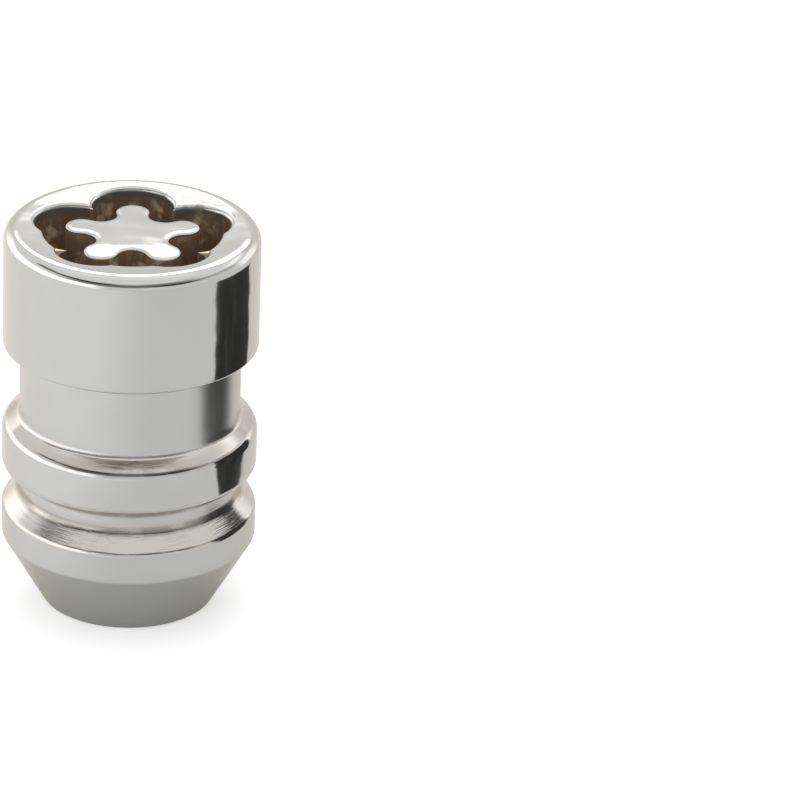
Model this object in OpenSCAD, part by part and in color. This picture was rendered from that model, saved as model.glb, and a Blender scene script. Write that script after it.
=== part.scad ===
// Closed-end locking wheel nut with a five-lobed coded groove, a collar and a conical seat.
// The nut is one piece: the outside is turned from one bar, the groove is pressed into its head and
// the thread hole is drilled from below. Lengths are millimetres, +Z runs up the axis, and Z = 0 is
// the small end of the seat.

/* [Turned body] */
// Diameter of the head, the collar and the rim above the seat
body_d = 22; // [21:0.5:26]
// Height of the head
head_h = 10.6; // [9:0.1:16]
// Rounding of the head's top edge
head_round = 1.2; // [0.4:0.1:1.6]
// Rounding of the head's lower edge
head_foot_round = 0.3; // [0.1:0.05:0.8]
// Diameter of the neck below the head
neck_d = 19; // [17.5:0.1:20]
// Height of the straight neck
neck_h = 6.55; // [4:0.05:10]
// Height of the slope from the neck to the collar
shoulder_h = 1; // [0.8:0.05:3]
// Height of the collar
collar_h = 3.9; // [2.5:0.05:6]
// Diameter of the waist below the collar
waist_d = 18.9; // [17.5:0.1:20]
// Height of the waist
waist_h = 2.15; // [1:0.05:4]
// Height of the slope from the waist to the rim
ramp_h = 1.55; // [0.8:0.05:3]
// Height of the rim above the seat
rim_h = 2.65; // [1.5:0.05:5]
// Rounding where the necks meet the faces beside them
root_round = 0.6; // [0.1:0.05:0.8]
// Rounding between the waist and the slope below it
ramp_root_round = 1; // [0.3:0.05:1.5]
// Rounding of the collar's top edge
collar_round = 1; // [0.3:0.05:1.3]
// Rounding of the collar's lower edge and of the rim's edges
land_round = 0.65; // [0.1:0.05:0.7]

/* [Seat] */
// Full angle of the conical seat
seat_angle = 60; // [50:1:70]
// Height of the conical seat
seat_h = 6.15; // [4.5:0.05:6.4]
// Rounding of the small end's edge
seat_round = 0.3; // [0.1:0.05:0.4]

/* [Thread hole] */
// Diameter of the hole before the thread is cut
bore_d = 10.5; // [8.5:0.1:11]
// Depth of the cylindrical hole
bore_depth = 23; // [15:0.5:23.5]
// Full angle of the drill point at the hole's end
drill_angle = 118; // [110:1:140]
// Diameter of the chamfer at the mouth of the hole
mouth_d = 13.2; // [12:0.1:13.6]

/* [Coded groove] */
// Number of lobes
lobe_count = 5; // [5:1:6]
// Distance of the groove's lobes from the axis
lobe_reach = 8.6; // [8.3:0.05:8.8]
// Radius of each lobe
lobe_r = 3.45; // [3.2:0.05:3.6]
// Radius of the ribs between the lobes
rib_r = 0.35; // [0.2:0.05:0.6]
// Depth of the groove below the top face
groove_depth = 5.5; // [3.5:0.1:6]
// Rounding of the groove's lip
lip_round = 0.4; // [0.2:0.05:0.9]
// Diameter of the round pocket that cuts three of the ribs back
pocket_d = 15.2; // [14:0.1:16]
// Depth of the pocket, where the cut ribs end flat
pocket_depth = 1.45; // [1:0.05:2.5]
// Distance of the pocket's end past the axis, towards the two full ribs
pocket_end = 1.5; // [0.5:0.1:2.5]

/* [Star] */
// Distance of the star's points from the axis
star_reach = 5.95; // [5.8:0.05:6.05]
// Radius of the star's points
point_r = 1.45; // [1.4:0.05:1.6]
// Radius of the hollows between the points
hollow_r = 1.4; // [1.35:0.05:1.6]
// Depth of the star's face below the top face
star_drop = 0.45; // [0:0.05:1.2]
// Rounding of the star's top edge
star_round = 0.4; // [0.2:0.05:1]

/* [Hidden] */
$fn = 96;
// Steps in each rounded corner
arc_steps = 6;
// Overrun of a cutter past the face it opens
overrun = 1;
// Overlap of a rib's post with the walls that it joins
joint = 0.02;
body_r = body_d / 2;
neck_r = neck_d / 2;
waist_r = waist_d / 2;
bore_r = bore_d / 2;
mouth_r = mouth_d / 2;
// Heights of the edges, from the seat upwards
rim_z = seat_h;
ramp_z = rim_z + rim_h;
waist_z = ramp_z + ramp_h;
collar_z = waist_z + waist_h;
shoulder_z = collar_z + collar_h;
neck_z = shoulder_z + shoulder_h;
head_z = neck_z + neck_h;
top_z = head_z + head_h;
seat_r = body_r - seat_h * tan(seat_angle / 2);
drill_h = bore_r / tan(drill_angle / 2);
mouth_h = mouth_r - bore_r;
// Angle from a lobe to the rib beside it, and the angle of the first lobe
half_pitch = 180 / lobe_count;
first_lobe = 90;
groove_z = top_z - groove_depth;
star_z = top_z - star_drop;
lobe_c = lobe_reach - lobe_r;
rib_c = valley_centre(lobe_c, lobe_r, rib_r);
point_c = star_reach - point_r;
hollow_c = valley_centre(point_c, point_r, hollow_r);
pocket_r = pocket_d / 2;
post_r = rib_r + joint;

// Distance from the axis of a valley circle that touches the two lobe circles beside it
function valley_centre(tip_c, tip_r, valley_r) =
    tip_c * cos(half_pitch) + sqrt(pow(tip_r + valley_r, 2) - pow(tip_c * sin(half_pitch), 2));

// Point at an angle and a distance from the axis
function polar(distance, angle) = [distance * cos(angle), distance * sin(angle)];

function unit(v) = v / norm(v);

// Points of the arc that rounds corner b, between corners a and c
function corner_arc(a, b, c, round_r) =
    let (
        to_a = unit(a - b),
        to_c = unit(c - b),
        half = acos(to_a * to_c) / 2,
        centre = b + unit(to_a + to_c) * round_r / sin(half),
        first = b + to_a * round_r / tan(half) - centre,
        last = b + to_c * round_r / tan(half) - centre,
        turn = atan2(cross(first, last), first * last),
        start = atan2(first[1], first[0])
    )
    [for (i = [0 : arc_steps]) centre + polar(round_r, start + turn * i / arc_steps)];

// Outline through corners given as [x, y, rounding], where a rounding of 0 leaves the corner sharp
function rounded(corners) =
    let (count = len(corners))
    [for (i = [0 : count - 1])
        let (
            before = corners[(i + count - 1) % count],
            here = corners[i],
            after = corners[(i + 1) % count],
            b = [here[0], here[1]]
        )
        each here[2] == 0
            ? [b]
            : corner_arc([before[0], before[1]], b, [after[0], after[1]], here[2])];

// Half section of the turned outside
body_corners = [
    [0, 0, 0],
    [seat_r, 0, seat_round],
    [body_r, rim_z, land_round],
    [body_r, ramp_z, land_round],
    [waist_r, waist_z, ramp_root_round],
    [waist_r, collar_z, root_round],
    [body_r, collar_z, land_round],
    [body_r, shoulder_z, collar_round],
    [neck_r, neck_z, root_round],
    [neck_r, head_z, root_round],
    [body_r, head_z, head_foot_round],
    [body_r, top_z, head_round],
    [0, top_z, 0]
];

// Ten-cornered polygon through the centres of the lobe and valley circles
module wave_core(tip_c, valley_c) {
    polygon([for (i = [0 : lobe_count - 1]) each [
        polar(tip_c, first_lobe + 2 * half_pitch * i),
        polar(valley_c, first_lobe + 2 * half_pitch * i + half_pitch)
    ]]);
}

// Copies of a shape at the lobes, or at the valleys between them
module at_tips(distance) {
    for (i = [0 : lobe_count - 1])
        translate(polar(distance, first_lobe + 2 * half_pitch * i))
            children();
}

module at_valleys(distance) {
    for (i = [0 : lobe_count - 1])
        translate(polar(distance, first_lobe + 2 * half_pitch * i + half_pitch))
            children();
}

module turned_body() {
    rotate_extrude()
        polygon(rounded(body_corners));
}

// Blind hole with its drill point and mouth chamfer
module thread_hole() {
    translate([0, 0, -overrun])
        cylinder(r = bore_r, h = bore_depth + overrun);
    translate([0, 0, bore_depth])
        cylinder(r1 = bore_r, r2 = 0, h = drill_h);
    translate([0, 0, -overrun])
        cylinder(r1 = mouth_r + overrun, r2 = bore_r, h = mouth_h + overrun);
}

// Round cutter that flares at the top face to round the lip
module flared_cutter(round_r, floor_z) {
    rotate_extrude()
        polygon(rounded([
            [0, floor_z, 0],
            [round_r, floor_z, 0],
            [round_r, top_z, lip_round],
            [round_r + 2 * lip_round, top_z, 0],
            [round_r + 2 * lip_round, top_z + overrun, 0],
            [0, top_z + overrun, 0]
        ]));
}

// Post that leaves one rib between two lobes, with the lip's rounding at its top
module rib_post() {
    rotate_extrude()
        intersection() {
            polygon(rounded([
                [-body_r, groove_z - overrun, 0],
                [post_r, groove_z - overrun, 0],
                [post_r, top_z, lip_round],
                [-body_r, top_z, 0]
            ]));
            translate([0, groove_z - overrun])
                square([body_r, groove_depth + 2 * overrun]);
        }
}

// Round pocket that cuts back the ribs on one side of the axis
module pocket() {
    intersection() {
        flared_cutter(pocket_r, top_z - pocket_depth);
        translate([-body_r, -body_r, top_z - pocket_depth - overrun])
            cube([body_d, body_r + pocket_end, pocket_depth + 2 * overrun]);
    }
}

// Five-lobed recess with its pocket, before the star is set in it
module recess() {
    difference() {
        union() {
            translate([0, 0, groove_z])
                linear_extrude(groove_depth + overrun)
                    wave_core(lobe_c, rib_c);
            at_tips(lobe_c)
                flared_cutter(lobe_r, groove_z);
        }
        at_valleys(rib_c)
            rib_post();
    }
    pocket();
}

// Star left standing in the recess, with its top edge rounded along points and hollows
module star() {
    difference() {
        union() {
            translate([0, 0, groove_z])
                linear_extrude(star_z - groove_z)
                    wave_core(point_c, hollow_c);
            at_tips(point_c)
                rotate_extrude()
                    polygon(rounded([
                        [0, groove_z, 0],
                        [point_r, groove_z, 0],
                        [point_r, star_z, star_round],
                        [0, star_z, 0]
                    ]));
        }
        at_valleys(hollow_c)
            rotate_extrude()
                polygon(rounded([
                    [0, groove_z - overrun, 0],
                    [hollow_r, groove_z - overrun, 0],
                    [hollow_r, star_z, star_round],
                    [hollow_r + 2 * star_round, star_z, 0],
                    [hollow_r + 2 * star_round, star_z + overrun, 0],
                    [0, star_z + overrun, 0]
                ]));
    }
}

module wheel_nut() {
    color("silver")
        difference() {
            turned_body();
            thread_hole();
            difference() {
                recess();
                star();
            }
        }
}

wheel_nut();
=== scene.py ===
"""Finish of a chrome locking wheel nut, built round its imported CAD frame.

The nut is lathed from one ring of points, its coded recess is pressed into the head, and an
M12 thread is cut in the blind hole. Sizes of the nut are millimetres while it is being made,
and the finished mesh is brought to metres. +Z runs up the axis, and +Y points to the first lobe.
"""

import logging
import math
from collections.abc import Callable
from dataclasses import dataclass, field
from enum import Enum
from functools import cached_property

import bmesh
import bpy
from mathutils import Euler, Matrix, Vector


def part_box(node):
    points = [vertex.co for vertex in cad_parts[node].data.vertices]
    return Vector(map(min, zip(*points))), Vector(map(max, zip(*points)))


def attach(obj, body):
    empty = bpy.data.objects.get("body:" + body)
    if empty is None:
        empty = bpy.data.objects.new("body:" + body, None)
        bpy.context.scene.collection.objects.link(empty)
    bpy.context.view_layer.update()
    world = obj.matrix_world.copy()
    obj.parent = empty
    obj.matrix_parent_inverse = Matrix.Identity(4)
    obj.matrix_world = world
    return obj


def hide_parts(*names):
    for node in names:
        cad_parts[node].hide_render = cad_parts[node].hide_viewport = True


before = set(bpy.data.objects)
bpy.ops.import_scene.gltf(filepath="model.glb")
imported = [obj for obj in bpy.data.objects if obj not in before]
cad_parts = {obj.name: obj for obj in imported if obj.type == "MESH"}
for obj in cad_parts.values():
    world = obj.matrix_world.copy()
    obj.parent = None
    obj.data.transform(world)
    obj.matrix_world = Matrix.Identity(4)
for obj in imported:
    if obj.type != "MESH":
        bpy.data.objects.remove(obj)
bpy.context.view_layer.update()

LOG = logging.getLogger("wheel_nut")
NODE = "wheel_nut"
BODY = "root"
MM = 0.001
Point = tuple[float, float]
Colour = tuple[float, float, float]


class Zone(Enum):
    """Parts of the nut's surface, in the order of the mesh's material slots."""

    PLATE = 0
    THREAD = 1


def clear_selection() -> None:
    """Deselects every object, because an operator acts on all that is selected."""
    bpy.ops.object.select_all(action="DESELECT")


def soft_max(a: float, b: float, blend: float) -> float:
    """Blends two lengths into the larger one.

    Args:
        a: First length.
        b: Second length.
        blend: Width of the soft step between them.

    Returns:
        The larger length, a little more where the two are close.
    """
    return 0.5 * (a + b + math.hypot(a - b, blend))


def level(x: float, y: float) -> float:
    """Fall of a ring that stays level.

    Args:
        x: Place of a point across the nut, not used.
        y: Place of a point along the nut, not used.

    Returns:
        No fall.
    """
    return 0.0


@dataclass(frozen=True)
class Corner:
    """One corner of the turned outline, in millimetres.

    A rounding of 0 leaves the corner sharp.
    """

    radius: float
    height: float
    rounding: float = 0.0
    steps: int = 8


def node_material(name: str) -> bpy.types.Material:
    """Makes a material that has a node tree with a Principled shader.

    Args:
        name: Name of the material.

    Returns:
        The new material.
    """
    material = bpy.data.materials.new(name)
    material.use_nodes = True
    return material


class RingMesh:
    """A surface that grows as a ring of points, extruded from step to step."""

    def __init__(self, name: str, segments: int, radius: float, height: float) -> None:
        """Starts the surface with one ring.

        Args:
            name: Name of the new object.
            segments: Points in each ring.
            radius: Radius of the first ring.
            height: Height of the first ring.
        """
        clear_selection()
        bpy.ops.mesh.primitive_circle_add(
            vertices=segments, radius=radius, location=(0.0, 0.0, height)
        )
        bpy.ops.object.transform_apply(location=True, rotation=True, scale=True)
        self.obj = bpy.context.object
        self.obj.name = name
        self.obj.data.name = name
        self.radius = radius
        self.height = height
        bpy.ops.object.mode_set(mode="EDIT")
        bpy.ops.mesh.select_mode(type="VERT")
        bpy.ops.mesh.select_all(action="SELECT")

    def grow(self, radius: float, height: float) -> None:
        """Extrudes the selected ring to a new radius and height.

        Args:
            radius: Radius of the new ring.
            height: Height of the new ring.
        """
        rise = height - self.height
        bpy.ops.mesh.extrude_region_move(TRANSFORM_OT_translate={"value": (0.0, 0.0, rise)})
        factor = radius / self.radius
        bpy.ops.transform.resize(
            value=(factor, factor, 1.0), center_override=(0.0, 0.0, height)
        )
        self.radius = radius
        self.height = height

    def press(
        self, contour: Callable[[float], float], height: float, fall: Callable[[float, float], float] = level
    ) -> None:
        """Extrudes the selected ring to a contour that is no circle.

        Args:
            contour: Radius of the contour at an angle about the axis.
            height: Height of the new ring.
            fall: How far the new ring falls below its height at a point.
        """
        bpy.ops.mesh.extrude_region_move()
        grid = bmesh.from_edit_mesh(self.obj.data)
        for point in grid.verts:
            if point.select:
                angle = math.atan2(point.co.y, point.co.x)
                reach = contour(angle)
                side = (reach * math.cos(angle), reach * math.sin(angle))
                point.co = Vector((*side, height - fall(*side)))
        bmesh.update_edit_mesh(self.obj.data)
        self.height = height

    def close(self) -> None:
        """Draws the selected ring together in one point on the axis."""
        bpy.ops.mesh.merge(type="CENTER")

    def select_ring(self, radius: float, height: float) -> None:
        """Selects the round ring at a radius and a height, and nothing else.

        Args:
            radius: Radius of the ring.
            height: Height of the ring.
        """
        near = 1e-3
        grid = bmesh.from_edit_mesh(self.obj.data)
        for point in grid.verts:
            here = math.hypot(point.co.x, point.co.y)
            point.select = abs(point.co.z - height) < near and abs(here - radius) < near
        grid.select_flush(True)
        grid.select_flush(False)
        bmesh.update_edit_mesh(self.obj.data)

    def round_corner(self, before: Corner, corner: Corner, after: Corner) -> None:
        """Bevels the ring at a corner to the corner's rounding.

        Args:
            before: Corner that comes before it in the outline.
            corner: Corner to round.
            after: Corner that comes after it.
        """
        here = Vector((corner.radius, corner.height))
        to_before = Vector((before.radius, before.height)) - here
        to_after = Vector((after.radius, after.height)) - here
        half_angle = to_before.angle(to_after) / 2
        self.select_ring(corner.radius, corner.height)
        bpy.ops.mesh.bevel(
            offset=corner.rounding / math.tan(half_angle),
            offset_type="OFFSET",
            segments=corner.steps,
            profile=0.5,
            affect="EDGES",
            clamp_overlap=False,
        )


@dataclass
class TurnedBody:
    """The turned outside of the nut, from the seat's small end to the head's top face."""

    top: float
    body_d: float = 22.0
    head_h: float = 10.6
    head_round: float = 1.2
    head_foot_round: float = 0.3
    neck_d: float = 19.0
    neck_h: float = 6.55
    shoulder_h: float = 1.0
    collar_h: float = 3.9
    waist_d: float = 18.9
    waist_h: float = 2.15
    ramp_h: float = 1.55
    root_round: float = 0.6
    ramp_root_round: float = 1.0
    collar_round: float = 1.0
    land_round: float = 0.65
    seat_angle: float = 60.0
    seat_h: float = 6.15
    seat_round: float = 0.3

    @property
    def radius(self) -> float:
        """Radius of the head, the collar and the rim."""
        return self.body_d / 2

    @property
    def seat_r(self) -> float:
        """Radius of the seat's small end."""
        return self.radius - self.seat_h * math.tan(math.radians(self.seat_angle / 2))

    @property
    def neck_z(self) -> tuple[float, float]:
        """Heights between which the straight neck runs."""
        head = self.top - self.head_h
        return head - self.neck_h, head

    @property
    def ramp_z(self) -> tuple[float, float]:
        """Heights between which the slope below the waist runs."""
        low = self.neck_z[0] - self.shoulder_h - self.collar_h - self.waist_h - self.ramp_h
        return low, low + self.ramp_h

    def outline(self) -> list[Corner]:
        """Corners of the outline, from the seat's small end upwards.

        Returns:
            The corners, with the roundings that finish them.
        """
        neck, head = self.neck_z
        shoulder = neck - self.shoulder_h
        collar = shoulder - self.collar_h
        waist = collar - self.waist_h
        ramp = self.ramp_z[0]
        neck_r = self.neck_d / 2
        waist_r = self.waist_d / 2
        return [
            Corner(self.seat_r, 0.0, self.seat_round, 4),
            Corner(self.radius, self.seat_h, self.land_round, 5),
            Corner(self.radius, ramp, self.land_round, 8),
            Corner(waist_r, waist, self.ramp_root_round, 6),
            Corner(waist_r, collar, self.root_round, 5),
            Corner(self.radius, collar, self.land_round, 6),
            Corner(self.radius, shoulder, self.collar_round, 10),
            Corner(neck_r, neck, self.root_round, 6),
            Corner(neck_r, head, self.root_round, 5),
            Corner(self.radius, head, self.head_foot_round, 6),
            Corner(self.radius, self.top, self.head_round, 12),
        ]


@dataclass
class CodedRecess:
    """The five-lobed recess in the head, and the star that stands in it."""

    top: float
    lobes: int = 5
    lobe_reach: float = 8.6
    lobe_r: float = 3.45
    rib_r: float = 0.35
    depth: float = 5.5
    lip_round: float = 0.4
    pocket_r: float = 7.6
    pocket_depth: float = 1.45
    pocket_end: float = 1.5
    soft: float = 0.05
    star_reach: float = 5.95
    point_r: float = 1.45
    hollow_r: float = 1.4
    star_drop: float = 0.45
    star_round: float = 0.55
    star_fall: float = 0.2
    lip_steps: int = 10
    dish_r: float = 9.6
    dish_slope: float = math.tan(math.radians(3.0))
    droop_from: float = 2.55
    droop_slope: float = math.tan(math.radians(5.5))
    droop_start: float = 0.9
    first_lobe: float = math.radians(90)

    @property
    def half_pitch(self) -> float:
        """Angle from the middle of a lobe to the rib beside it."""
        return math.pi / self.lobes

    def valley_centre(self, tip_c: float, tip_r: float, valley_r: float) -> float:
        """Places a valley circle so that it touches the two tip circles beside it.

        Args:
            tip_c: Distance of the tip circles' centres from the axis.
            tip_r: Radius of the tip circles.
            valley_r: Radius of the valley circle.

        Returns:
            Distance of the valley circle's centre from the axis.
        """
        side = tip_c * math.sin(self.half_pitch)
        return tip_c * math.cos(self.half_pitch) + math.sqrt((tip_r + valley_r) ** 2 - side**2)

    def from_tip(self, angle: float) -> float:
        """Angle to the nearest lobe, between 0 and half a pitch."""
        pitch = 2 * self.half_pitch
        turned = (angle - self.first_lobe) % pitch
        return min(turned, pitch - turned)

    def wave(self, angle: float, tip: Point, valley: Point) -> float:
        """Radius of a contour of round tips and round valleys that run into each other.

        Args:
            angle: Angle about the axis.
            tip: Centre distance and radius of the tip circles.
            valley: Centre distance and radius of the valley circles.

        Returns:
            Distance of the contour from the axis at that angle.
        """
        off_tip = self.from_tip(angle)
        off_valley = self.half_pitch - off_tip
        tip_side = tip[0] * math.sin(off_tip)
        valley_side = valley[0] * math.sin(off_valley)
        reach = math.inf
        if abs(tip_side) <= tip[1]:
            reach = tip[0] * math.cos(off_tip) + math.sqrt(tip[1] ** 2 - tip_side**2)
        if abs(valley_side) <= valley[1]:
            dip = valley[0] * math.cos(off_valley) - math.sqrt(valley[1] ** 2 - valley_side**2)
            reach = min(reach, dip)
        return reach

    def wall(self, flare: float, pocket: bool) -> Callable[[float], float]:
        """Outer wall of the recess.

        Args:
            flare: How far the lip is rounded back at this depth.
            pocket: Whether the pocket cuts three of the ribs back at this depth.

        Returns:
            The contour at that depth.
        """
        lobe_c = self.lobe_reach - self.lobe_r
        rib_c = self.valley_centre(lobe_c, self.lobe_r, self.rib_r)

        def contour(angle: float) -> float:
            """Radius of the wall at an angle."""
            tip = (lobe_c, self.lobe_r + flare)
            rib = (rib_c, self.rib_r - flare)
            reach = self.wave(angle, tip, rib)
            if not pocket or reach * math.sin(angle) > self.pocket_end:
                return reach
            return soft_max(reach, self.pocket_r + flare, self.soft)

        return contour

    def star(self, inset: float) -> Callable[[float], float]:
        """Outline of the star.

        Args:
            inset: How far the outline is drawn in by the rounding of the star's edge.

        Returns:
            The contour at that inset.
        """
        point_c = self.star_reach - self.point_r
        hollow_c = self.valley_centre(point_c, self.point_r, self.hollow_r)

        def contour(angle: float) -> float:
            """Radius of the star's side at an angle."""
            tip = (point_c, self.point_r - inset)
            hollow = (hollow_c, self.hollow_r + inset)
            return self.wave(angle, tip, hollow)

        return contour

    def dish(self, x: float, y: float) -> float:
        """How far the head's face falls towards the recess at a point."""
        return max(0.0, self.dish_r - math.hypot(x, y)) * self.dish_slope

    def droop(self, x: float, y: float) -> float:
        """How far the worn star's face falls towards its front at a point."""
        along = max(0.0, -self.droop_from - y)
        return self.droop_slope * along**2 / (along + self.droop_start)

    def press_into(self, ring: RingMesh) -> None:
        """Carries the selected ring of the top face over the lip, down and over the star.

        Args:
            ring: Surface whose selected ring lies on the top face.
        """
        steps = self.lip_steps
        for step in range(steps + 1):
            turn = math.pi / 2 * step / steps
            flare = self.lip_round * (1 - math.sin(turn))
            depth = self.lip_round * (1 - math.cos(turn))
            ring.press(self.wall(flare, True), self.top - depth, self.dish)
        floor = self.pocket_depth
        for depth in (0.5 * (self.lip_round + floor), floor):
            ring.press(self.wall(0.0, True), self.top - depth)
        for depth in (floor, 0.5 * (floor + self.depth), self.depth):
            ring.press(self.wall(0.0, False), self.top - depth)
        edge = self.star_drop + self.star_fall
        for depth in (self.depth, 0.5 * (self.depth + edge)):
            ring.press(self.star(0.0), self.top - depth)
        for step in range(steps + 1):
            turn = math.pi / 2 * step / steps
            inset = self.star_round * (1 - math.cos(turn))
            rise = self.star_fall * math.sin(turn)
            ring.press(self.star(inset), self.top - edge + rise, self.droop)
        face = self.star(self.star_round)
        for share in (0.92, 0.84, 0.76, 0.68, 0.55, 0.25):
            ring.press(lambda angle, share=share: share * face(angle), ring.height, self.droop)
        ring.close()


@dataclass
class TappedHole:
    """The blind hole with its thread, opening at the seat's small end."""

    bore_d: float = 10.5
    bore_depth: float = 23.0
    drill_angle: float = 118.0
    mouth_d: float = 13.2
    thread_d: float = 12.0
    pitch: float = 1.5
    thread_depth: float = 20.5
    steps_per_turn: int = 96

    def bore_into(self, ring: RingMesh) -> None:
        """Carries the selected ring of the small end up the hole and closes it.

        Args:
            ring: Surface whose selected ring lies on the seat's small end.
        """
        bore_r = self.bore_d / 2
        mouth_r = self.mouth_d / 2
        ring.grow(mouth_r, 0.0)
        ring.grow(bore_r, mouth_r - bore_r)
        ring.grow(bore_r, self.bore_depth)
        point = bore_r / math.tan(math.radians(self.drill_angle / 2))
        ring.grow(bore_r * 0.02, self.bore_depth + point * 0.98)
        ring.close()

    def tap(self) -> bpy.types.Object:
        """Builds the helical cutter that leaves the thread.

        Returns:
            The cutter, a closed solid.
        """
        root_r = self.thread_d / 2
        inner_r = self.bore_d / 2 - 0.4
        root_flat = self.pitch / 8
        inner_half = root_flat / 2 + (root_r - inner_r) * math.tan(math.radians(30))
        clear_selection()
        bpy.ops.mesh.primitive_plane_add(size=1.0, location=(0.0, 0.0, 0.0))
        tap = bpy.context.object
        tap.name = "tap"
        places = [
            (inner_r, -inner_half),
            (root_r, -root_flat / 2),
            (root_r, root_flat / 2),
            (inner_r, inner_half),
        ]
        loop = [tap.data.loops[i].vertex_index for i in range(4)]
        for index, (radius, height) in zip(loop, places):
            tap.data.vertices[index].co = Vector((radius, 0.0, height - self.pitch))
        bpy.ops.object.mode_set(mode="EDIT")
        bpy.ops.mesh.select_all(action="SELECT")
        bpy.ops.mesh.delete(type="ONLY_FACE")
        bpy.ops.object.mode_set(mode="OBJECT")
        turns = round((self.thread_depth + self.pitch) / self.pitch)
        screw = tap.modifiers.new("helix", "SCREW")
        screw.screw_offset = self.pitch
        screw.iterations = turns
        screw.steps = self.steps_per_turn
        screw.render_steps = self.steps_per_turn
        bpy.ops.object.modifier_apply(modifier=screw.name)
        bpy.ops.object.mode_set(mode="EDIT")
        bpy.ops.mesh.select_all(action="SELECT")
        bpy.ops.mesh.remove_doubles(threshold=1e-4)
        bpy.ops.mesh.fill_holes(sides=4)
        bpy.ops.mesh.select_all(action="SELECT")
        bpy.ops.mesh.normals_make_consistent(inside=False)
        bpy.ops.object.mode_set(mode="OBJECT")
        return tap

    def cut(self, nut: bpy.types.Object) -> None:
        """Cuts the thread in the nut's hole.

        Args:
            nut: The nut, a closed solid.
        """
        tap = self.tap()
        clear_selection()
        nut.select_set(True)
        bpy.context.view_layer.objects.active = nut
        thread = nut.modifiers.new("thread", "BOOLEAN")
        thread.operation = "DIFFERENCE"
        thread.solver = "EXACT"
        thread.object = tap
        bpy.ops.object.modifier_apply(modifier=thread.name)
        bpy.data.objects.remove(tap)


class NodeSheet:
    """Small helper that lays out shader nodes in one node tree."""

    def __init__(self, tree: bpy.types.NodeTree) -> None:
        """Takes the tree to work in.

        Args:
            tree: Node tree of a material or a world.
        """
        self.tree = tree

    @property
    def shader(self) -> bpy.types.Node:
        """The Principled shader of a material's tree."""
        return self.tree.nodes["Principled BSDF"]

    def node(self, kind: str, **values: object) -> bpy.types.Node:
        """Adds a node and sets its properties.

        Args:
            kind: Blender's name of the node's type.
            values: Properties by name, or input values by the input's name.

        Returns:
            The new node.
        """
        made = self.tree.nodes.new(kind)
        for key, value in values.items():
            if hasattr(made, key):
                setattr(made, key, value)
            else:
                made.inputs[key.replace("_", " ")].default_value = value
        return made

    def join(self, source: bpy.types.NodeSocket, target: bpy.types.NodeSocket) -> None:
        """Links two sockets."""
        self.tree.links.new(source, target)

    def maths(self, operation: str, *terms: object) -> bpy.types.NodeSocket:
        """Adds a Math node.

        Args:
            operation: Name of the operation.
            terms: Its inputs, each a number or a socket.

        Returns:
            The result's socket.
        """
        made = self.tree.nodes.new("ShaderNodeMath")
        made.operation = operation
        for slot, term in zip(made.inputs, terms):
            if isinstance(term, bpy.types.NodeSocket):
                self.join(term, slot)
            else:
                slot.default_value = term
        return made.outputs[0]

    def times(self, a: object, b: object) -> bpy.types.NodeSocket:
        """Product of two numbers or sockets."""
        return self.maths("MULTIPLY", a, b)

    def plus(self, a: object, b: object) -> bpy.types.NodeSocket:
        """Sum of two numbers or sockets."""
        return self.maths("ADD", a, b)

    def larger(self, a: object, b: object) -> bpy.types.NodeSocket:
        """The larger of two numbers or sockets."""
        return self.maths("MAXIMUM", a, b)

    def noise(
        self, place: bpy.types.NodeSocket, scale: float, detail: float, roughness: float = 0.5
    ) -> bpy.types.NodeSocket:
        """Adds a noise texture.

        Args:
            place: Coordinates to read.
            scale: Waves in a metre.
            detail: Number of finer layers.
            roughness: Strength of each finer layer.

        Returns:
            The noise's socket, about 0.5 on average.
        """
        made = self.node("ShaderNodeTexNoise", Scale=scale, Detail=detail, Roughness=roughness)
        self.join(place, made.inputs["Vector"])
        return made.outputs["Fac"]

    def ramp(self, value: bpy.types.NodeSocket, low: float, high: float) -> bpy.types.NodeSocket:
        """Turns a value into a smooth share from 0 at low to 1 at high.

        Args:
            value: Socket to read.
            low: Value that gives 0.
            high: Value that gives 1.

        Returns:
            The share's socket.
        """
        made = self.node("ShaderNodeMapRange", interpolation_type="SMOOTHSTEP")
        self.join(value, made.inputs["Value"])
        made.inputs["From Min"].default_value = low
        made.inputs["From Max"].default_value = high
        return made.outputs["Result"]

    def mix(self, share: object, a: object, b: object) -> bpy.types.NodeSocket:
        """Mixes two colours.

        Args:
            share: Share of the second colour, a number or a socket.
            a: First colour, a tuple or a socket.
            b: Second colour, a tuple or a socket.

        Returns:
            The mixed colour's socket.
        """
        made = self.tree.nodes.new("ShaderNodeMix")
        made.data_type = "RGBA"
        for slot, term in zip((made.inputs[0], made.inputs[6], made.inputs[7]), (share, a, b)):
            if isinstance(term, bpy.types.NodeSocket):
                self.join(term, slot)
            elif isinstance(term, tuple):
                slot.default_value = (*term, 1.0)
            else:
                slot.default_value = term
        return made.outputs[2]


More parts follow.
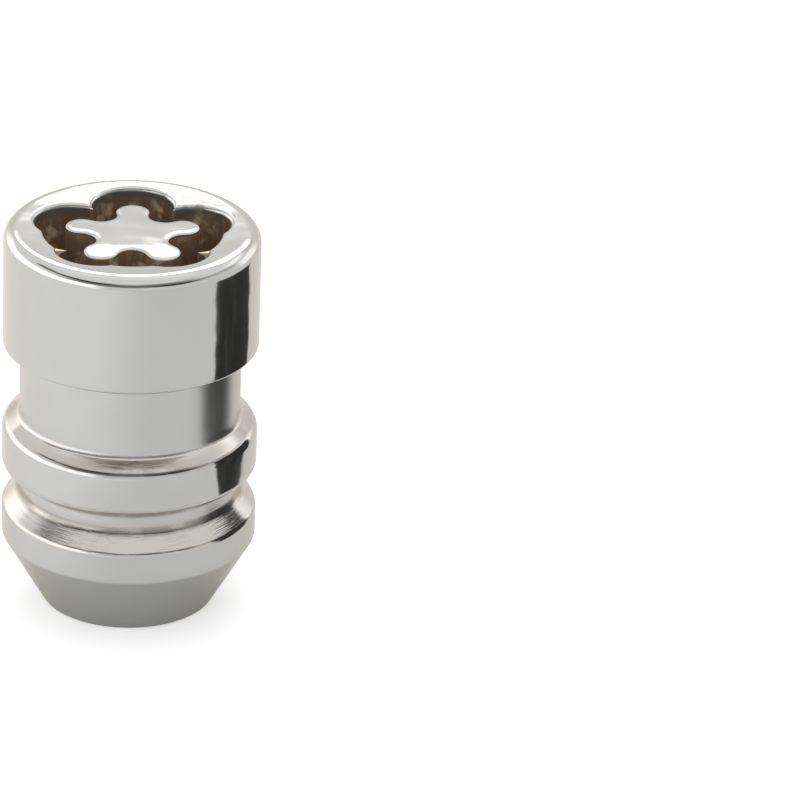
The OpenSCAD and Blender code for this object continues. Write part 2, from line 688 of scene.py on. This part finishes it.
@dataclass
class SurfaceMap:
    """Zones of the nut's surface, as shares that the nodes of its finish read.

    Lengths are millimetres. A share is 1 inside its zone and 0 outside it.
    """

    sheet: NodeSheet
    body: TurnedBody
    recess: CodedRecess
    recess_r: float = 9.6
    wall_depth: float = 0.34
    rib_depth: float = 0.5
    star_depth: float = 0.8
    brown_blend: float = 0.14
    wander: float = 0.3
    wear: float = 0.7
    worn_x: Point = (1.0, 3.5)
    worn_y: Point = (1.0, 3.0)
    rib_reach: Point = (8.0, 7.0)
    lip_reach: Point = (9.0, 8.4)
    slope_half: float = 0.8
    patch_scale: float = 420.0
    spot_scale: float = 620.0

    def span(self, value: bpy.types.NodeSocket, low: float, high: float) -> bpy.types.NodeSocket:
        """Share that is 0 at one length and 1 at another."""
        return self.sheet.ramp(value, low * MM, high * MM)

    def band(self, middle: float, half: float) -> bpy.types.NodeSocket:
        """Share of a soft band round the axis.

        Args:
            middle: Height of the band's middle.
            half: Half of the band's height.

        Returns:
            The share, 1 in the middle and 0 outside the band.
        """
        above = self.sheet.maths("SUBTRACT", self.axes[2], middle * MM)
        return self.span(self.sheet.maths("ABSOLUTE", above), half, 0.4 * half)

    @cached_property
    def place(self) -> bpy.types.NodeSocket:
        """Coordinates on the object."""
        return self.sheet.node("ShaderNodeTexCoord").outputs["Object"]

    @cached_property
    def axes(self) -> tuple[bpy.types.NodeSocket, ...]:
        """The three coordinates, each on its own."""
        split = self.sheet.node("ShaderNodeSeparateXYZ")
        self.sheet.join(self.place, split.inputs[0])
        return tuple(split.outputs)

    @cached_property
    def radius(self) -> bpy.types.NodeSocket:
        """Distance from the axis."""
        x, y, _ = self.axes
        squares = self.sheet.plus(self.sheet.maths("POWER", x, 2.0), self.sheet.maths("POWER", y, 2.0))
        return self.sheet.maths("SQRT", squares)

    @cached_property
    def patches(self) -> bpy.types.NodeSocket:
        """Broad uneven patches, about 0.5 on average."""
        return self.sheet.noise(self.place, self.patch_scale, 3.0)

    @cached_property
    def spots(self) -> bpy.types.NodeSocket:
        """Small stains, about 0.5 on average."""
        return self.sheet.noise(self.place, self.spot_scale, 3.0, 0.6)

    @cached_property
    def worn_side(self) -> bpy.types.NodeSocket:
        """The right-hand back of the head, where the plate is worn most."""
        x, y, _ = self.axes
        return self.sheet.times(self.span(x, *self.worn_x), self.span(y, *self.worn_y))

    @cached_property
    def on_star(self) -> bpy.types.NodeSocket:
        """The star in the recess."""
        reach = self.recess.star_reach
        return self.span(self.radius, reach + 0.12, reach + 0.06)

    @cached_property
    def off_star(self) -> bpy.types.NodeSocket:
        """All but the star."""
        return self.sheet.maths("SUBTRACT", 1.0, self.on_star)

    @cached_property
    def inside(self) -> bpy.types.NodeSocket:
        """The head within the recess's outer reach."""
        return self.span(self.radius, self.recess_r + 0.1, self.recess_r)

    @property
    def edge(self) -> float:
        """Height at which the walls turn brown."""
        return self.body.top - self.wall_depth

    @cached_property
    def raised(self) -> bpy.types.NodeSocket:
        """Height with an uneven edge, lifted where the brown starts deeper: on ribs and star."""
        sheet = self.sheet
        reach = sheet.plus(sheet.times(self.worn_side, self.wear * MM), self.wander * MM)
        uneven = sheet.times(sheet.maths("SUBTRACT", self.patches, 0.5), reach)
        on_rib = self.span(self.radius, *self.rib_reach)
        lift = sheet.plus(
            sheet.times(on_rib, (self.rib_depth - self.wall_depth) * MM),
            sheet.times(self.on_star, (self.star_depth - self.rib_depth) * MM),
        )
        return sheet.plus(sheet.plus(self.axes[2], uneven), lift)

    @cached_property
    def brown(self) -> bpy.types.NodeSocket:
        """The browned walls and floor of the recess."""
        deep = self.span(self.raised, self.edge + self.brown_blend, self.edge - self.brown_blend)
        floor = self.body.top - self.recess.depth
        above = self.span(self.axes[2], floor - 1.5, floor - 1.0)
        return self.sheet.times(self.sheet.times(deep, self.inside), above)

    @cached_property
    def on_ledge(self) -> bpy.types.NodeSocket:
        """The flat ends of the three ribs that the pocket cuts back."""
        sheet = self.sheet
        _, y, z = self.axes
        floor = (self.body.top - self.recess.pocket_depth) * MM
        off_floor = sheet.maths("ABSOLUTE", sheet.maths("SUBTRACT", z, floor))
        pocket_r = self.recess.pocket_r
        flat = sheet.times(self.span(off_floor, 0.08, 0.02), self.off_star)
        cut_back = sheet.times(self.span(self.radius, pocket_r, pocket_r - 0.3), self.span(y, 0.5, 0.0))
        return sheet.times(flat, cut_back)

    @cached_property
    def on_ramp(self) -> bpy.types.NodeSocket:
        """The slope below the waist."""
        low, high = self.body.ramp_z
        z = self.axes[2]
        return self.sheet.times(self.span(z, low - 0.5, low + 0.1), self.span(z, high + 1.2, high + 0.2))

    @cached_property
    def on_shoulder(self) -> bpy.types.NodeSocket:
        """The slope between the neck and the collar."""
        return self.band(self.body.neck_z[0] - 0.5 * self.body.shoulder_h, self.slope_half)

    @cached_property
    def on_neck(self) -> bpy.types.NodeSocket:
        """The straight neck below the head."""
        low, high = self.body.neck_z
        z = self.axes[2]
        return self.sheet.times(self.span(z, low - 0.3, low + 0.2), self.span(z, high + 0.2, high - 0.1))

    @cached_property
    def on_seat(self) -> bpy.types.NodeSocket:
        """The conical seat."""
        return self.span(self.axes[2], self.body.seat_h + 0.05, self.body.seat_h - 0.25)

    @cached_property
    def scuffs(self) -> bpy.types.NodeSocket:
        """Scuffs on the worn side of the lip."""
        sheet = self.sheet
        top = self.body.top
        on_face = sheet.times(self.span(self.axes[2], top - 0.9, top - 0.5), self.worn_side)
        near_lip = sheet.times(self.span(self.radius, *self.lip_reach), self.off_star)
        return sheet.times(sheet.ramp(self.spots, 0.5, 0.6), sheet.times(on_face, near_lip))


@dataclass(frozen=True)
class ChromeFinish:
    """Bright plate over turned steel, browned inside the key recess."""

    plate: Colour = (0.575, 0.575, 0.56)
    cloud: Colour = (0.585, 0.585, 0.572)
    turned: Colour = (0.575, 0.55, 0.515)
    seat: Colour = (0.46, 0.465, 0.465)
    # painted shade with some dirt, laid in the concave corners and under the collar
    shade_and_grime: Colour = (0.2, 0.18, 0.15)
    scuff: Colour = (0.3, 0.285, 0.265)
    recess: Colour = (0.33, 0.235, 0.17)
    tan: Colour = (0.62, 0.49, 0.34)
    rust: Colour = (0.33, 0.205, 0.14)
    # glint: painted glints, laid along the walls' streaks
    glint: Colour = (0.66, 0.5, 0.37)
    soot: Colour = (0.17, 0.16, 0.14)
    # shadow and ledge_highlight: painted shadow and painted highlight on the ribs' cut-back ledges
    shadow: Colour = (0.1, 0.075, 0.055)
    ledge_highlight: Colour = (0.82, 0.63, 0.44)
    specular: Colour = (0.95, 0.91, 0.83)
    root_shade: float = 0.6
    shoulder_shade: float = 0.5
    collar_shade: float = 1.35
    soot_depth: float = 1.4
    streaks: float = 0.7
    scuff_share: float = 0.6
    plate_roughness: float = 0.1
    neck_roughness: float = 0.17
    ramp_roughness: float = 0.16
    recess_roughness: float = 0.3
    patch_haze: float = 0.05
    lip_haze: float = 0.12
    star_haze: float = 0.16
    scuff_haze: float = 0.15
    recess_metal: float = 0.6
    tan_metal: float = 0.15
    streak_turn: float = 0.8
    shoulder_cut: float = 0.3
    ramp_cut: float = 0.022
    ring_cut: float = 0.0006
    peel: float = 0.0016
    wave: float = 0.07
    ring_scale: float = 5200.0
    peel_scale: float = 1500.0
    wave_scale: float = 260.0
    cloud_scale: float = 240.0
    streak_scale: float = 1500.0
    streak_stretch: tuple[float, float, float] = (1.0, 1.0, 0.14)

    def relief(self, nut: SurfaceMap) -> bpy.types.NodeSocket:
        """Normal of the fine relief: tool marks round the axis, orange peel and slow waves.

        Args:
            nut: Zones of the nut.

        Returns:
            The bent normal's socket.
        """
        sheet = nut.sheet
        x, y, z = nut.axes
        turn = sheet.times(sheet.maths("ARCTAN2", y, x), self.streak_turn * MM)
        rings = sheet.node("ShaderNodeCombineXYZ")
        for source, target in zip((nut.radius, turn, z), rings.inputs):
            sheet.join(source, target)
        lines = sheet.noise(rings.outputs[0], self.ring_scale, 3.0, 0.6)
        coarse = sheet.larger(nut.on_ramp, sheet.times(nut.on_shoulder, self.shoulder_cut))
        depth = sheet.plus(sheet.times(coarse, self.ramp_cut * MM), self.ring_cut * MM)
        height = sheet.times(lines, depth)
        peel = sheet.noise(nut.place, self.peel_scale, 2.0)
        waves = sheet.noise(nut.place, self.wave_scale, 1.0)
        height = sheet.plus(height, sheet.times(peel, self.peel * MM))
        height = sheet.plus(height, sheet.times(waves, self.wave * MM))
        bump = sheet.node("ShaderNodeBump", Strength=1.0, Distance=1.0)
        sheet.join(height, bump.inputs["Height"])
        return bump.outputs[0]

    def recess_colour(self, nut: SurfaceMap) -> bpy.types.NodeSocket:
        """Colour of the recess: brown walls with stains and with streaks lightened as painted glints, soot,
        and ledges with a painted highlight at the back and painted shadow at the front.

        Args:
            nut: Zones of the nut.

        Returns:
            The colour's socket.
        """
        sheet = nut.sheet
        tan = self.tan_spots(nut)
        red = sheet.ramp(nut.spots, 0.48, 0.38)
        stained = sheet.mix(red, sheet.mix(tan, self.recess, self.tan), self.rust)
        stretch = sheet.node("ShaderNodeMapping", Scale=self.streak_stretch)
        sheet.join(nut.place, stretch.inputs["Vector"])
        streaks = sheet.noise(stretch.outputs[0], self.streak_scale, 4.0, 0.6)
        streak = sheet.times(sheet.ramp(streaks, 0.45, 0.75), self.streaks)
        # streaks on the walls, lightened towards the glint colour as painted glints
        walls = sheet.mix(streak, stained, self.glint)
        burnt = nut.span(nut.raised, nut.edge - self.soot_depth, nut.edge - 0.25)
        sooty = sheet.mix(sheet.times(burnt, nut.off_star), walls, self.soot)
        # painted light on the ledges: highlight at their back, shadow at their front
        lit = nut.span(nut.axes[1], -2.05, -1.75)
        return sheet.mix(nut.on_ledge, sooty, sheet.mix(lit, self.shadow, self.ledge_highlight))

    def tan_spots(self, nut: SurfaceMap) -> bpy.types.NodeSocket:
        """Share of the tan stains on the recess's walls."""
        return nut.sheet.ramp(nut.spots, 0.52, 0.66)

    def root_shades(self, nut: SurfaceMap) -> bpy.types.NodeSocket:
        """Share of painted shade, with some dirt, that darkens the concave corners, the waist under the
        collar and the shoulder's foot, most at its front.

        Args:
            nut: Zones of the nut.

        Returns:
            The share's socket.
        """
        sheet = nut.sheet
        waist = nut.body.ramp_z[1]
        # painted shade under the collar's lower edge
        under_collar = sheet.times(nut.band(waist + nut.body.waist_h - 0.4, 0.6), self.collar_shade)
        # painted shade: the shoulder's foot is darker towards the front
        ahead = sheet.times(nut.span(nut.axes[1], -6.5, -10.0), self.shoulder_shade)
        foot = nut.band(nut.body.neck_z[0] - 0.8 * nut.body.shoulder_h, 0.65)
        shoulder = sheet.times(foot, sheet.plus(ahead, 0.1))
        shade = sheet.larger(nut.band(waist, 0.5), sheet.larger(under_collar, shoulder))
        uneven = sheet.times(shade, sheet.ramp(nut.patches, 0.2, 0.5))
        return sheet.times(uneven, self.root_shade)

    def plate_colour(self, nut: SurfaceMap) -> bpy.types.NodeSocket:
        """Colour of the plate, with warmer slopes, greyer seat, painted shade with some dirt in the corners,
        and scuffs.

        Args:
            nut: Zones of the nut.

        Returns:
            The colour's socket.
        """
        sheet = nut.sheet
        clouds = sheet.noise(nut.place, self.cloud_scale, 1.0)
        clouded = sheet.mix(sheet.ramp(clouds, 0.35, 0.65), self.plate, self.cloud)
        slopes = sheet.larger(nut.on_ramp, nut.on_shoulder)
        plate = sheet.mix(nut.on_seat, sheet.mix(slopes, clouded, self.turned), self.seat)
        # painted shade with some dirt in the concave corners
        plate = sheet.mix(self.root_shades(nut), plate, self.shade_and_grime)
        return sheet.mix(sheet.times(nut.scuffs, self.scuff_share), plate, self.scuff)

    def roughness(self, nut: SurfaceMap) -> bpy.types.NodeSocket:
        """Roughness of every zone.

        Args:
            nut: Zones of the nut.

        Returns:
            The roughness's socket.
        """
        sheet = nut.sheet
        haze = sheet.times(nut.patches, self.patch_haze)
        grain = sheet.plus(haze, self.plate_roughness - 0.5 * self.patch_haze)
        for share, roughness in (
            (nut.on_neck, self.neck_roughness),
            (nut.on_ramp, self.ramp_roughness),
            (nut.brown, self.recess_roughness),
        ):
            grain = sheet.plus(grain, sheet.times(share, roughness - self.plate_roughness))
        near_brown = sheet.times(nut.span(nut.raised, nut.edge + 0.4, nut.edge), nut.inside)
        worn_lip = sheet.times(sheet.times(near_brown, nut.off_star), self.lip_haze)
        star_z = nut.body.top - nut.recess.star_drop
        star_edge = sheet.times(nut.on_star, nut.span(nut.axes[2], star_z - 0.005, star_z - 0.05))
        worn_star = sheet.times(star_edge, self.star_haze)
        worn = sheet.larger(worn_star, sheet.times(nut.scuffs, self.scuff_haze))
        return sheet.plus(sheet.plus(grain, worn_lip), worn)

    def metal(self, nut: SurfaceMap) -> bpy.types.NodeSocket:
        """Share of bare metal, less in the brown and least on its tan stains.

        Args:
            nut: Zones of the nut.

        Returns:
            The share's socket.
        """
        sheet = nut.sheet
        loss = sheet.times(self.tan_spots(nut), self.recess_metal - self.tan_metal)
        loss = sheet.plus(loss, 1.0 - self.recess_metal)
        return sheet.maths("SUBTRACT", 1.0, sheet.times(nut.brown, loss))

    def material(self, body: TurnedBody, recess: CodedRecess) -> bpy.types.Material:
        """Builds the material.

        Args:
            body: Turned body, for the places of its zones.
            recess: Recess, for the depth at which the plate turns brown.

        Returns:
            The finished material.
        """
        material = node_material("bright_chrome")
        sheet = NodeSheet(material.node_tree)
        nut = SurfaceMap(sheet, body, recess)
        colour = sheet.mix(nut.brown, self.plate_colour(nut), self.recess_colour(nut))
        sheet.join(colour, sheet.shader.inputs["Base Color"])
        sheet.join(self.roughness(nut), sheet.shader.inputs["Roughness"])
        sheet.join(self.metal(nut), sheet.shader.inputs["Metallic"])
        sheet.join(self.relief(nut), sheet.shader.inputs["Normal"])
        sheet.shader.inputs["Specular Tint"].default_value = (*self.specular, 1.0)
        return material


@dataclass(frozen=True)
class ThreadFinish:
    """Tapped steel under a thin film of oil."""

    steel: Colour = (0.34, 0.33, 0.31)
    stain: Colour = (0.2, 0.17, 0.14)
    roughness: float = 0.3
    stain_haze: float = 0.2

    def material(self) -> bpy.types.Material:
        """Builds the material."""
        material = node_material("tapped_steel")
        sheet = NodeSheet(material.node_tree)
        place = sheet.node("ShaderNodeTexCoord").outputs["Object"]
        stains = sheet.noise(place, 350.0, 4.0)
        colour = sheet.mix(sheet.ramp(stains, 0.4, 0.7), self.steel, self.stain)
        sheet.join(colour, sheet.shader.inputs["Base Color"])
        haze = sheet.times(stains, self.stain_haze)
        grain = sheet.plus(haze, self.roughness - 0.5 * self.stain_haze)
        sheet.join(grain, sheet.shader.inputs["Roughness"])
        sheet.shader.inputs["Metallic"].default_value = 1.0
        return material


@dataclass
class WheelNut:
    """The whole nut: turned body, coded recess and tapped hole, in one solid."""

    body: TurnedBody
    recess: CodedRecess
    hole: TappedHole
    segments: int = 480
    face_ring: float = 9.6
    plate: ChromeFinish = field(default_factory=ChromeFinish)
    steel: ThreadFinish = field(default_factory=ThreadFinish)

    def build(self) -> bpy.types.Object:
        """Models the nut and brings it to metres.

        Returns:
            The finished object, with its place in its mesh.
        """
        corners = self.body.outline()
        ring = RingMesh("locking_nut", self.segments, corners[0].radius, corners[0].height)
        for corner in corners[1:]:
            ring.grow(corner.radius, corner.height)
        ring.grow(self.face_ring, self.body.top)
        self.recess.press_into(ring)
        ring.select_ring(corners[0].radius, corners[0].height)
        ring.radius, ring.height = corners[0].radius, corners[0].height
        self.hole.bore_into(ring)
        self.round_corners(ring, corners)
        bpy.ops.mesh.select_all(action="SELECT")
        bpy.ops.mesh.remove_doubles(threshold=1e-5)
        bpy.ops.mesh.normals_make_consistent(inside=False)
        bpy.ops.object.mode_set(mode="OBJECT")
        self.hole.cut(ring.obj)
        self.smooth(ring.obj)
        self.to_metres(ring.obj)
        return ring.obj

    def round_corners(self, ring: RingMesh, corners: list[Corner]) -> None:
        """Rounds every corner of the outline that has a rounding.

        Args:
            ring: Surface that was grown through the corners.
            corners: Corners of the outline, in order.
        """
        first = Corner(self.hole.mouth_d / 2, 0.0)
        last = Corner(self.face_ring, self.body.top)
        path = [first, *corners, last]
        for before, corner, after in zip(path, path[1:], path[2:]):
            ring.round_corner(before, corner, after)

    def smooth(self, nut: bpy.types.Object) -> None:
        """Shades the nut smooth, with its flats kept flat.

        Args:
            nut: The nut.
        """
        clear_selection()
        nut.select_set(True)
        bpy.context.view_layer.objects.active = nut
        bpy.ops.object.shade_smooth_by_angle(angle=math.radians(28))
        weights = nut.modifiers.new("flat_faces", "WEIGHTED_NORMAL")
        weights.keep_sharp = True
        weights.weight = 80
        bpy.ops.object.modifier_apply(modifier=weights.name)

    def to_metres(self, nut: bpy.types.Object) -> None:
        """Brings the mesh from millimetres to metres about the origin.

        Args:
            nut: The nut.
        """
        nut.scale = (MM, MM, MM)
        clear_selection()
        nut.select_set(True)
        bpy.context.view_layer.objects.active = nut
        bpy.ops.object.transform_apply(location=True, rotation=True, scale=True)

    def dress(self, nut: bpy.types.Object) -> None:
        """Gives each zone of the surface its finish.

        Args:
            nut: The nut, in metres.
        """
        nut.data.materials.clear()
        nut.data.materials.append(self.plate.material(self.body, self.recess))
        nut.data.materials.append(self.steel.material())
        mouth_r = self.hole.mouth_d / 2 * MM
        hole_top = (self.body.top - self.recess.depth - 1.0) * MM
        for face in nut.data.polygons:
            middle = face.center
            in_hole = math.hypot(middle.x, middle.y) < mouth_r and middle.z < hole_top
            face.material_index = (Zone.THREAD if in_hole else Zone.PLATE).value


@dataclass(frozen=True)
class LightTent:
    """Surroundings that the plate mirrors: pale walls, a bright ceiling and a darker gap.

    Heights are sines of the elevation, and each side is a share from 0 to 1.
    """

    even: float = 0.86
    horizon: float = 0.88
    wall: float = 1.0
    ceiling: tuple[float, float] = (1.02, 1.2)
    left_panel: float = 1.1
    right_panel: float = 0.7
    front_gap: Point = (0.56, 0.24)
    left_gap: Point = (0.655, 0.085)
    right_gap: Point = (0.45, 0.13)
    gap_depth: tuple[float, float, float] = (0.78, 0.8, 0.4)
    darkest: float = 0.06

    def gap(
        self, sheet: NodeSheet, z: object, side: object, place: Point, depth: float
    ) -> bpy.types.NodeSocket:
        """Share of darkness of the gap on one side.

        Args:
            sheet: Sheet of the world's nodes.
            z: Sine of the elevation.
            side: Share of the side.
            place: Middle and half-width of the gap.
            depth: Darkness in its middle.

        Returns:
            The share, 0 where there is no gap.
        """
        away = sheet.maths("ABSOLUTE", sheet.maths("SUBTRACT", z, place[0]))
        band = sheet.ramp(away, place[1], place[1] * 0.4)
        reach = sheet.ramp(side, 0.15, 0.75)
        return sheet.times(sheet.times(band, reach), depth)

    def build(self) -> None:
        """Makes the world and hands it to the scene."""
        world = bpy.data.worlds.new("light_tent")
        bpy.context.scene.world = world
        world.use_nodes = True
        sheet = NodeSheet(world.node_tree)
        back = world.node_tree.nodes["Background"]
        place = sheet.node("ShaderNodeTexCoord").outputs["Generated"]
        split = sheet.node("ShaderNodeSeparateXYZ")
        sheet.join(place, split.inputs[0])
        x, y, z = split.outputs
        flat = sheet.maths("SQRT", sheet.maths("SUBTRACT", 1.0001, sheet.times(z, z)))
        across = sheet.maths("DIVIDE", x, flat)
        along = sheet.maths("DIVIDE", y, flat)
        front = sheet.times(along, -1.0)
        left = sheet.times(across, -1.0)
        beside = sheet.times(left, sheet.ramp(along, 0.5, 0.15))
        walls = sheet.mix(sheet.ramp(z, 0.3, 0.45), (self.horizon,) * 3, (self.wall,) * 3)
        near, far = self.ceiling
        overhead = sheet.mix(sheet.ramp(y, -0.05, 0.3), (near,) * 3, (far,) * 3)
        tent = sheet.mix(sheet.ramp(z, 0.75, 0.97), walls, overhead)
        low = sheet.times(sheet.ramp(z, 0.43, 0.36), sheet.ramp(left, 0.35, 0.65))
        right = sheet.times(sheet.ramp(across, 0.5, 0.75), sheet.ramp(along, 0.2, 0.45))
        high = sheet.times(sheet.ramp(z, 0.75, 0.55), right)
        panels = sheet.plus(sheet.times(low, self.left_panel), sheet.times(high, self.right_panel))
        dark = self.gap(sheet, z, front, self.front_gap, self.gap_depth[0])
        dark = sheet.plus(dark, self.gap(sheet, z, beside, self.left_gap, self.gap_depth[1]))
        dark = sheet.plus(dark, self.gap(sheet, z, across, self.right_gap, self.gap_depth[2]))
        keep = sheet.larger(sheet.maths("SUBTRACT", 1.0, dark), self.darkest)
        strength = sheet.times(keep, sheet.plus(panels, 1.0))
        path = sheet.node("ShaderNodeLightPath")
        glossy = path.outputs["Is Glossy Ray"]
        sheet.join(sheet.mix(glossy, (self.even,) * 3, tent), back.inputs["Color"])
        power = sheet.plus(sheet.times(glossy, sheet.maths("SUBTRACT", strength, 1.0)), 1.0)
        sheet.join(power, back.inputs["Strength"])


@dataclass
class Studio:
    """Floor, light and camera."""

    floor_size: float = 2.4
    floor_colour: Colour = (0.9, 0.9, 0.895)
    # floor_glow: even lift seen by the camera, and a painted glow of light on the floor's left
    floor_glow: Point = (0.4, 0.19)
    softbox_at: tuple[float, float, float] = (0.04, 0.474, 0.412)
    softbox_size: tuple[float, float] = (0.4, 0.246)
    softbox_power: float = 0.63
    card_x: float = 30.0
    card_tones: tuple[Colour, Colour] = ((0.028, 0.029, 0.027), (0.085, 0.09, 0.088))
    card_outline: tuple[Point, ...] = (
        (-11.8, 24.5), (12.5, 24.5), (12.5, 6.5), (9.0, 3.0),
        (2.0, 1.2), (-8.0, 1.0), (-9.3, 4.5), (-11.8, 8.5),
    )
    tent: LightTent = field(default_factory=LightTent)
    frame_px: int = 800
    camera_distance: float = 535.9
    camera_elevation: float = 25.75
    target_z: float = 16.5
    target_px: Point = (129.8, 418.5)
    px_per_mm: float = 11.59
    roll: float = 0.85
    sensor: float = 36.0

    def floor(self) -> None:
        """Lays the plain pale floor, lifted for the camera, with a painted glow of light on its left."""
        clear_selection()
        bpy.ops.mesh.primitive_plane_add(size=self.floor_size, location=(0.0, 0.0, 0.0))
        floor = bpy.context.object
        floor.name = "floor"
        material = node_material("pale_floor")
        sheet = NodeSheet(material.node_tree)
        shader = sheet.shader
        shader.inputs["Base Color"].default_value = (*self.floor_colour, 1.0)
        shader.inputs["Roughness"].default_value = 0.9
        shader.inputs["Specular IOR Level"].default_value = 0.1
        seen = sheet.node("ShaderNodeLightPath").outputs["Is Camera Ray"]
        split = sheet.node("ShaderNodeSeparateXYZ")
        sheet.join(sheet.node("ShaderNodeTexCoord").outputs["Object"], split.inputs[0])
        # painted light: the floor glows on its left, which the plate mirrors
        left = sheet.ramp(split.outputs["X"], 0.025, -0.04)
        glow = sheet.times(left, self.floor_glow[1])
        lit = sheet.times(seen, self.floor_glow[0])
        shader.inputs["Emission Color"].default_value = (1.0, 1.0, 1.0, 1.0)
        sheet.join(sheet.larger(glow, lit), shader.inputs["Emission Strength"])
        floor.data.materials.append(material)

    def side_card(self) -> None:
        """Stands a dark card at the right of the nut, which only the plate's reflections show."""
        clear_selection()
        bpy.ops.mesh.primitive_circle_add(vertices=len(self.card_outline), fill_type="NGON")
        card = bpy.context.object
        card.name = "side_card"
        for vertex, (y, z) in zip(card.data.vertices, self.card_outline):
            vertex.co = Vector((self.card_x, y, z)) * MM
        material = node_material("dark_card")
        sheet = NodeSheet(material.node_tree)
        stretch = sheet.node("ShaderNodeMapping", Scale=(1.0, 1.0, 0.3))
        sheet.join(sheet.node("ShaderNodeTexCoord").outputs["Object"], stretch.inputs["Vector"])
        folds = sheet.node("ShaderNodeTexNoise", Scale=320.0, Detail=2.0, Distortion=0.8)
        sheet.join(stretch.outputs[0], folds.inputs["Vector"])
        share = sheet.ramp(folds.outputs["Fac"], 0.5, 0.75)
        sheet.join(sheet.mix(share, *self.card_tones), sheet.shader.inputs["Base Color"])
        sheet.shader.inputs["Roughness"].default_value = 0.8
        card.data.materials.append(material)
        card.visible_camera = False
        card.visible_shadow = False
        card.visible_diffuse = False

    def softbox(self) -> None:
        """Hangs the large soft light behind and above the nut."""
        clear_selection()
        bpy.ops.object.light_add(type="AREA", location=self.softbox_at)
        light = bpy.context.object
        light.name = "softbox"
        light.data.shape = "RECTANGLE"
        light.data.size, light.data.size_y = self.softbox_size
        light.data.energy = self.softbox_power
        aim = Vector(self.softbox_at) - Vector((0.0, 0.0, 0.02))
        light.rotation_mode = "QUATERNION"
        light.rotation_quaternion = aim.to_track_quat("Z", "Y")

    def camera(self) -> None:
        """Places the camera at the photograph's angle and frames the nut at the left."""
        focal_px = self.px_per_mm * self.camera_distance
        rise = math.radians(self.camera_elevation)
        target = Vector((0.0, 0.0, self.target_z))
        back = Vector((0.0, -math.cos(rise), math.sin(rise)))
        place = target + back * self.camera_distance
        facing = back.to_track_quat("Z", "Y").to_matrix()
        half = self.frame_px / 2
        yaw = math.atan((self.target_px[0] - half) / focal_px)
        pitch = math.atan((self.target_px[1] - half) / focal_px)
        roll = math.radians(self.roll)
        turn = Euler((pitch, yaw, roll), "YXZ").to_matrix()
        clear_selection()
        bpy.ops.object.camera_add(location=place * MM)
        camera = bpy.context.object
        camera.name = "photo_camera"
        camera.rotation_mode = "QUATERNION"
        camera.rotation_quaternion = (facing @ turn).to_quaternion()
        camera.data.sensor_width = self.sensor
        camera.data.lens = self.sensor * focal_px / self.frame_px
        camera.data.clip_start = 0.01
        camera.data.clip_end = 10.0
        bpy.context.scene.camera = camera

    def build(self) -> None:
        """Sets up everything round the nut."""
        self.floor()
        self.side_card()
        self.tent.build()
        self.softbox()
        self.camera()
        bpy.context.scene.view_settings.view_transform = "Standard"


def main() -> None:
    """Builds the nut and the studio, and reports each piece."""
    logging.basicConfig(level=logging.INFO, format="%(name)s: %(message)s")
    low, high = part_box(NODE)
    top = high.z / MM
    nut = WheelNut(TurnedBody(top), CodedRecess(top), TappedHole())
    piece = nut.build()
    nut.dress(piece)
    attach(piece, BODY)
    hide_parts(NODE)
    LOG.info("%s: %d faces, %.2f mm tall", piece.name, len(piece.data.polygons), (high.z - low.z) / MM)
    Studio().build()
    LOG.info("studio: floor, light and camera")


if __name__ == "__main__":
    main()
